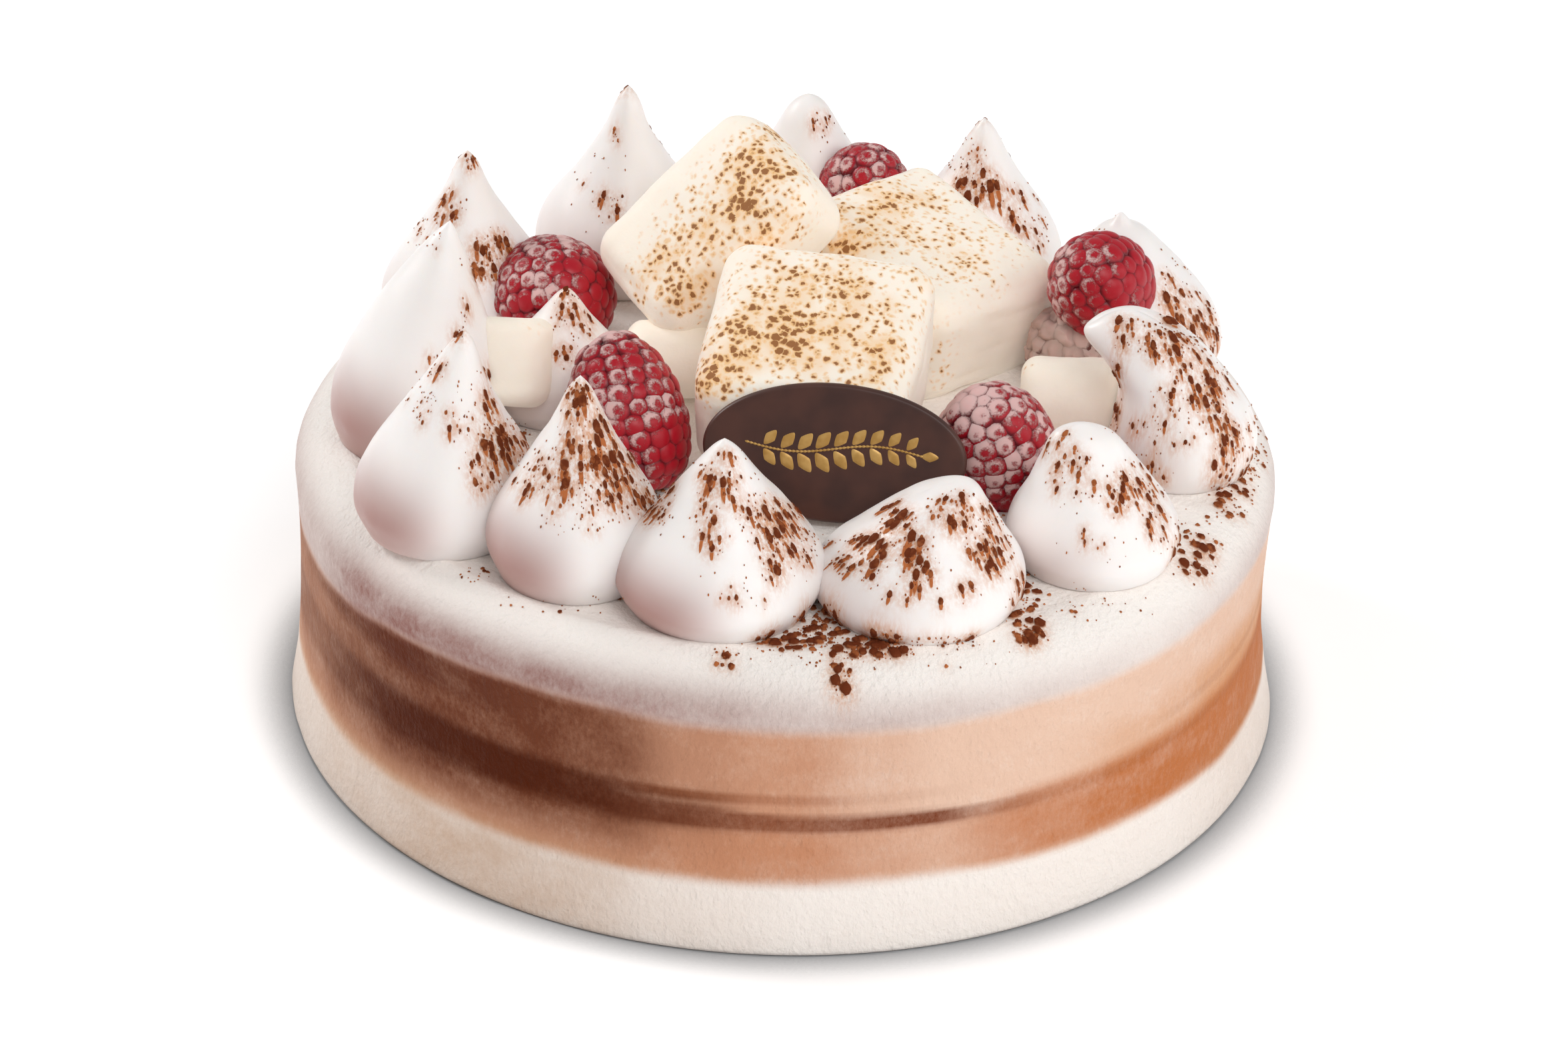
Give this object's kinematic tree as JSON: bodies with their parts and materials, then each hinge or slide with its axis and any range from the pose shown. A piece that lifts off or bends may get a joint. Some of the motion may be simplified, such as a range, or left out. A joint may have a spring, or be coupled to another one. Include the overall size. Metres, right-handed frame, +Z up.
{
  "type": "marshmallow-topped cake",
  "caption": "Round cream cake with a ring of piped kisses, toasted marshmallows, raspberries and an oval chocolate plaque.",
  "frame": {"origin": "centre of the cake's flat underside", "axes": "+Z up, -Y towards the front, where the chocolate plaque leans, +X to the right seen from the front"},
  "size_m": [0.1588, 0.1588, 0.0888],
  "materials": {
    "cake_cream": "smooth spread cream, satin, with a soft brown band sprayed round the side",
    "kiss_cream": "piped cream with a soft sheen, dusted with cocoa",
    "toasted_marshmallow": "matt and powdery, with toasted brown spots on one face",
    "plain_marshmallow": "matt, powdery cream white",
    "raspberry": "moist red skin with a whitish frost on the drupelets",
    "frosted_raspberry": "greyish mauve frost over dull red flesh",
    "dark_chocolate": "satin dark chocolate"
  },
  "bodies": {
    "root": {"cake_body": "cake_cream", "plaque": "dark_chocolate", "marshmallow_front": "toasted_marshmallow", "marshmallow_right": "toasted_marshmallow", "marshmallow_left": "toasted_marshmallow", "mini_marshmallow_left": "plain_marshmallow", "mini_marshmallow_middle": "plain_marshmallow", "mini_marshmallow_right": "plain_marshmallow", "raspberry_left_back": "raspberry", "raspberry_left_front": "raspberry", "raspberry_back": "raspberry", "raspberry_right_back": "raspberry", "raspberry_right_front": "raspberry", "raspberry_frosted": "frosted_raspberry", "kiss_01": "kiss_cream", "kiss_02": "kiss_cream", "kiss_03": "kiss_cream", "kiss_04": "kiss_cream", "kiss_05": "kiss_cream", "kiss_06": "kiss_cream", "kiss_07": "kiss_cream", "kiss_08": "kiss_cream", "kiss_09": "kiss_cream", "kiss_10": "kiss_cream", "kiss_11": "kiss_cream", "kiss_12": "kiss_cream", "kiss_inner": "kiss_cream"}
  },
  "joints": []
}
